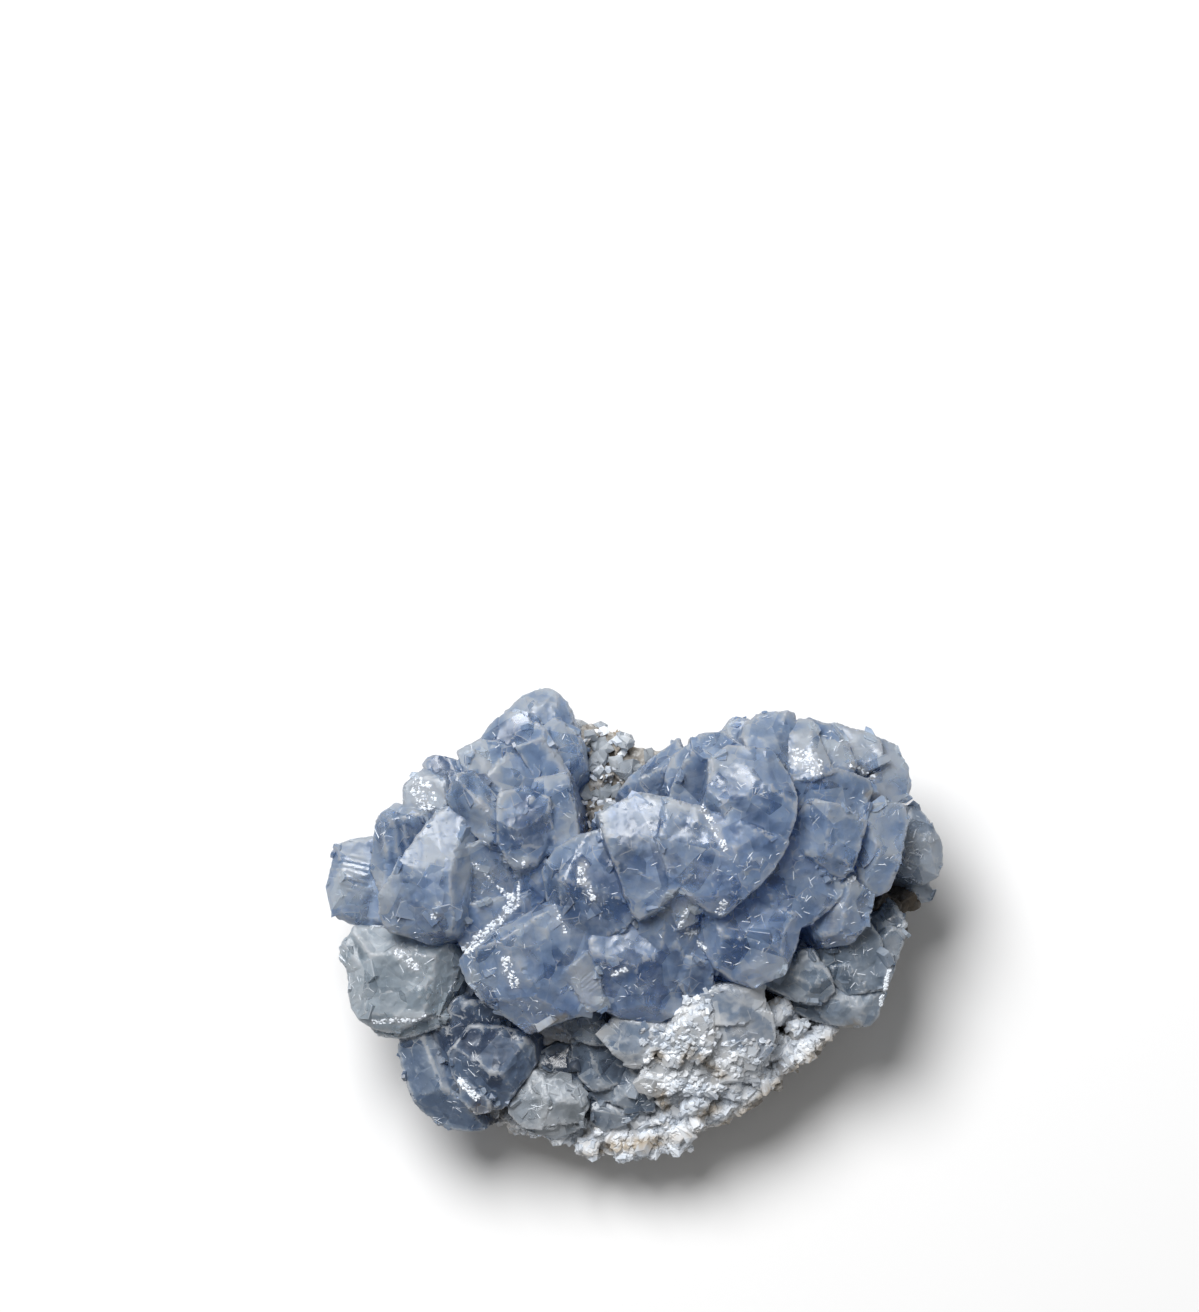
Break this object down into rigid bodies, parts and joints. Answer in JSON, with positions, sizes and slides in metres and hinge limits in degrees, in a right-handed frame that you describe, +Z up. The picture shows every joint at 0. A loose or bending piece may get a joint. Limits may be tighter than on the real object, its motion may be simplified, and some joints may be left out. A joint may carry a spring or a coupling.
{
  "type": "celestite cluster",
  "caption": "Loose cluster of blue blocky celestite crystals grown together on a piece of grey-brown rock, with frosted drusy ledges along the front and a flat spot below to rest on.",
  "frame": {"origin": "on the ground, under the middle of the cluster's bounding box", "axes": "+Z up from the flat spot, +X to the right across the cluster, which is its longest way, and +Y to the back, where the notch between the two raised groups is"},
  "size_m": [0.0986, 0.0766, 0.0443],
  "materials": {
    "matrix": "rough grey-brown rock with small crystals on its ledges",
    "main_crystals": "translucent medium blue crystal, glossy faces",
    "pale_left_crystal": "translucent pale grey-blue crystal, lightly frosted",
    "lower_left_crystals": "translucent dark blue crystal, glossy faces",
    "front_crystals": "pale cloudy crystal, lightly frosted",
    "hollow_crystals": "slate blue crystal, glossy faces",
    "white_crust_crystals": "frosted white crystal",
    "lower_right_crystals": "translucent grey-blue crystal",
    "far_right_crystals": "translucent grey-blue crystal"
  },
  "bodies": {
    "root": {"matrix": "matrix", "main_crystals": "main_crystals", "pale_left_crystal": "pale_left_crystal", "lower_left_crystals": "lower_left_crystals", "front_crystals": "front_crystals", "hollow_crystals": "hollow_crystals", "white_crust_crystals": "white_crust_crystals", "lower_right_crystals": "lower_right_crystals", "far_right_crystals": "far_right_crystals"}
  },
  "joints": []
}
